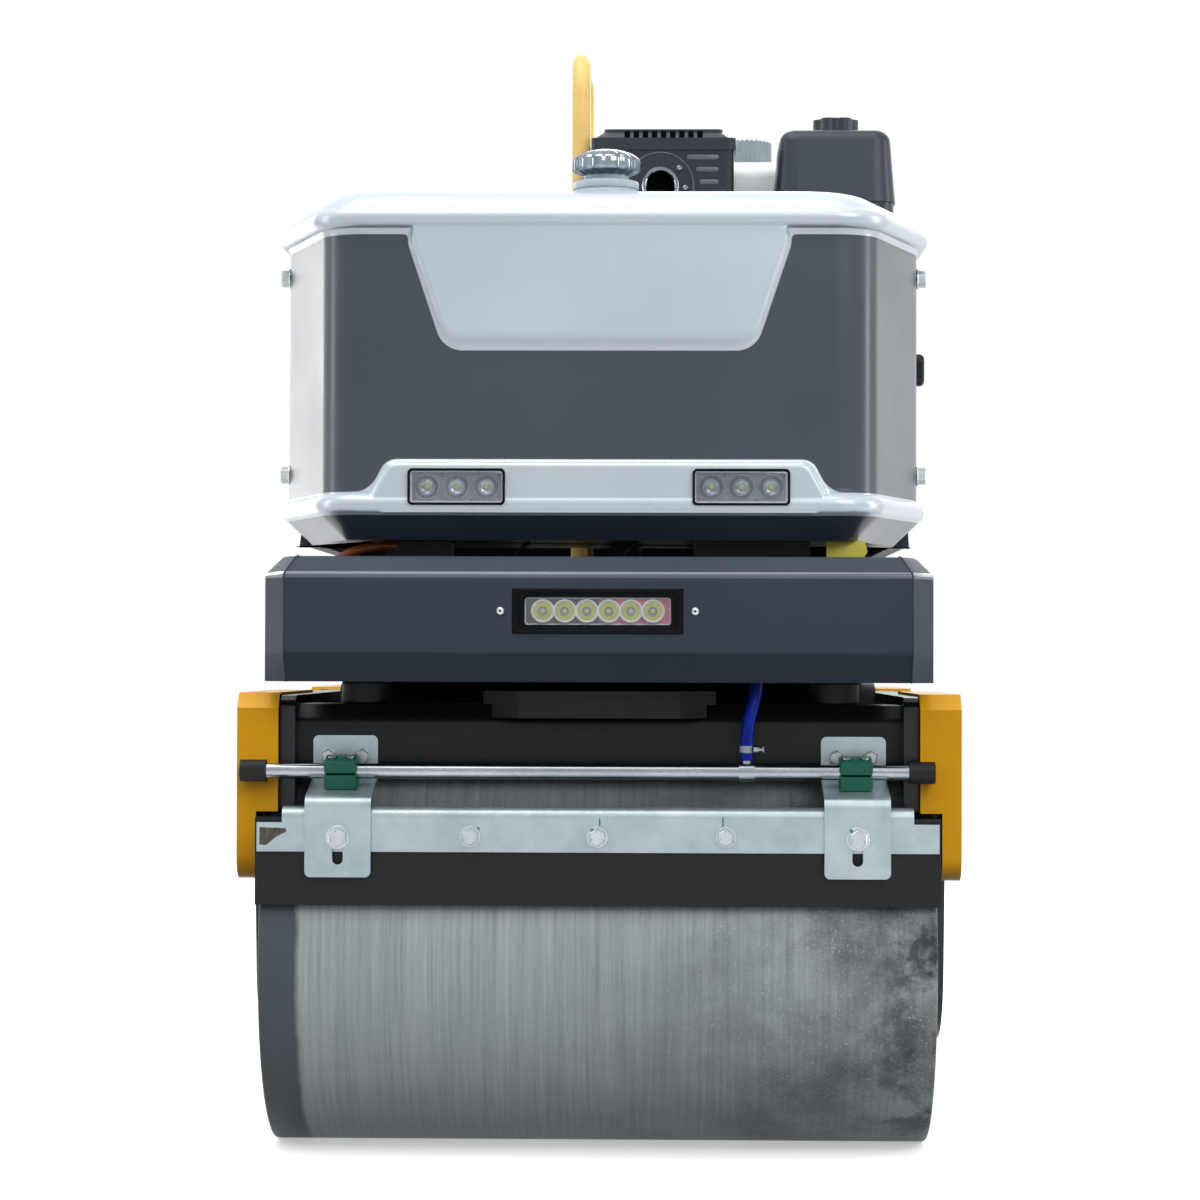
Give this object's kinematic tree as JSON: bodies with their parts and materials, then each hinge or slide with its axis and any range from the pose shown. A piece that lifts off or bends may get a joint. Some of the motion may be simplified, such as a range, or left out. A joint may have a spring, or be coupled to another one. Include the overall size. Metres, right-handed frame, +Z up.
{
  "type": "pedestrian double-drum road roller",
  "caption": "Walk-behind vibratory road roller with two equal steel drums, sprung scrapers, sprinkler bars, front water tank, petrol engine, lifting hoop and a tow handle that folds up.",
  "frame": {"origin": "on the ground under the centre of the bounding box, tow handle lowered to its working stop", "axes": "+Z up, -Y towards the machine's front with the water tank and light bar, +X towards the service door"},
  "size_m": [0.756, 2.2586, 1.2449],
  "materials": {
    "drum_steel": "worn rolling surface, dusty",
    "frame_black": "satin black powder coat",
    "cover_yellow": "semi-gloss yellow paint",
    "bumper_grey": "satin dark grey powder coat",
    "tank_grey": "satin dark grey paint with silver rim, plaque and sill",
    "zinc": "bright zinc plate",
    "rubber": "black rubber",
    "tube_chrome": "polished tube",
    "clamp_green": "moulded green plastic",
    "hose_blue": "blue polyurethane hose",
    "lamp": "clear lens over reflectors",
    "engine_black": "gloss black covers",
    "engine_metal": "cast aluminium",
    "tank_white": "white moulded fuel tank",
    "cap_chrome": "chrome plated cap",
    "steel": "machined steel",
    "valve_brass": "brass fittings"
  },
  "bodies": {
    "chassis": {"air_cleaner": "engine_black", "bumper_front": "bumper_grey", "bumper_rear": "bumper_grey", "cross_beam_front": "frame_black", "cross_beam_rear": "frame_black", "deck": "frame_black", "door_hinges": "steel", "drive_motors_front": "steel", "drive_motors_rear": "steel", "engine_bed": "frame_black", "engine_block": "engine_metal", "exciter_housing": "frame_black", "filler_cap": "cap_chrome", "frame_channels": "frame_black", "frame_ends": "frame_black", "fuel_tank": "tank_white", "handle_bracket": "frame_black", "hood_front": "tank_grey", "hood_lamps": "lamp", "hood_rear": "tank_grey", "hydraulic_pump": "engine_metal", "lifting_hoop": "cover_yellow", "light_bar": "lamp", "muffler": "engine_black", "recoil_starter": "engine_black", "rubber_mounts": "rubber", "scraper_angle_front": "zinc", "scraper_angle_rear": "zinc", "scraper_blade_front": "rubber", "scraper_blade_rear": "rubber", "scraper_brackets_front": "zinc", "scraper_brackets_rear": "zinc", "side_cover_front_left": "cover_yellow", "side_cover_front_right": "cover_yellow", "side_cover_rear_left": "cover_yellow", "side_cover_rear_right": "cover_yellow", "side_frame_left": "frame_black", "side_frame_right": "frame_black", "side_panel_left": "tank_grey", "spray_caps_front": "rubber", "spray_caps_rear": "rubber", "spray_tube_front": "tube_chrome", "spray_tube_rear": "tube_chrome", "tank_seats": "rubber", "tie_down_front": "frame_black", "tie_down_rear": "frame_black", "tube_clamps_front": "clamp_green", "tube_clamps_rear": "clamp_green", "water_hose_front": "hose_blue", "water_hose_rear": "hose_blue", "water_valve_front": "valve_brass", "water_valve_rear": "valve_brass"},
    "front_drum": {"drum_front": "drum_steel"},
    "rear_drum": {"drum_rear": "drum_steel"},
    "handle": {"handle_frame": "cover_yellow", "handle_console": "tank_grey", "handle_grips": "rubber", "travel_lever": "steel"},
    "door": {"service_door": "tank_grey", "door_latch": "rubber"}
  },
  "joints": [
    {"name": "front_drum_spin", "type": "hinge", "parent": "chassis", "child": "front_drum", "pos_m": [0, -0.90932, 0.203], "axis": [1, 0, 0], "continuous": true},
    {"name": "rear_drum_spin", "type": "hinge", "parent": "chassis", "child": "rear_drum", "pos_m": [0, -0.18932, 0.203], "axis": [1, 0, 0], "continuous": true},
    {"name": "handle_tilt", "type": "hinge", "parent": "chassis", "child": "handle", "pos_m": [0, 0.08168, 0.64], "axis": [1, 0, 0], "range_deg": [0, 70]},
    {"name": "service_door_hinge", "type": "hinge", "parent": "chassis", "child": "door", "pos_m": [0.349, -0.29632, 0.8165], "axis": [0, 0, 1], "range_deg": [0, 110]}
  ]
}
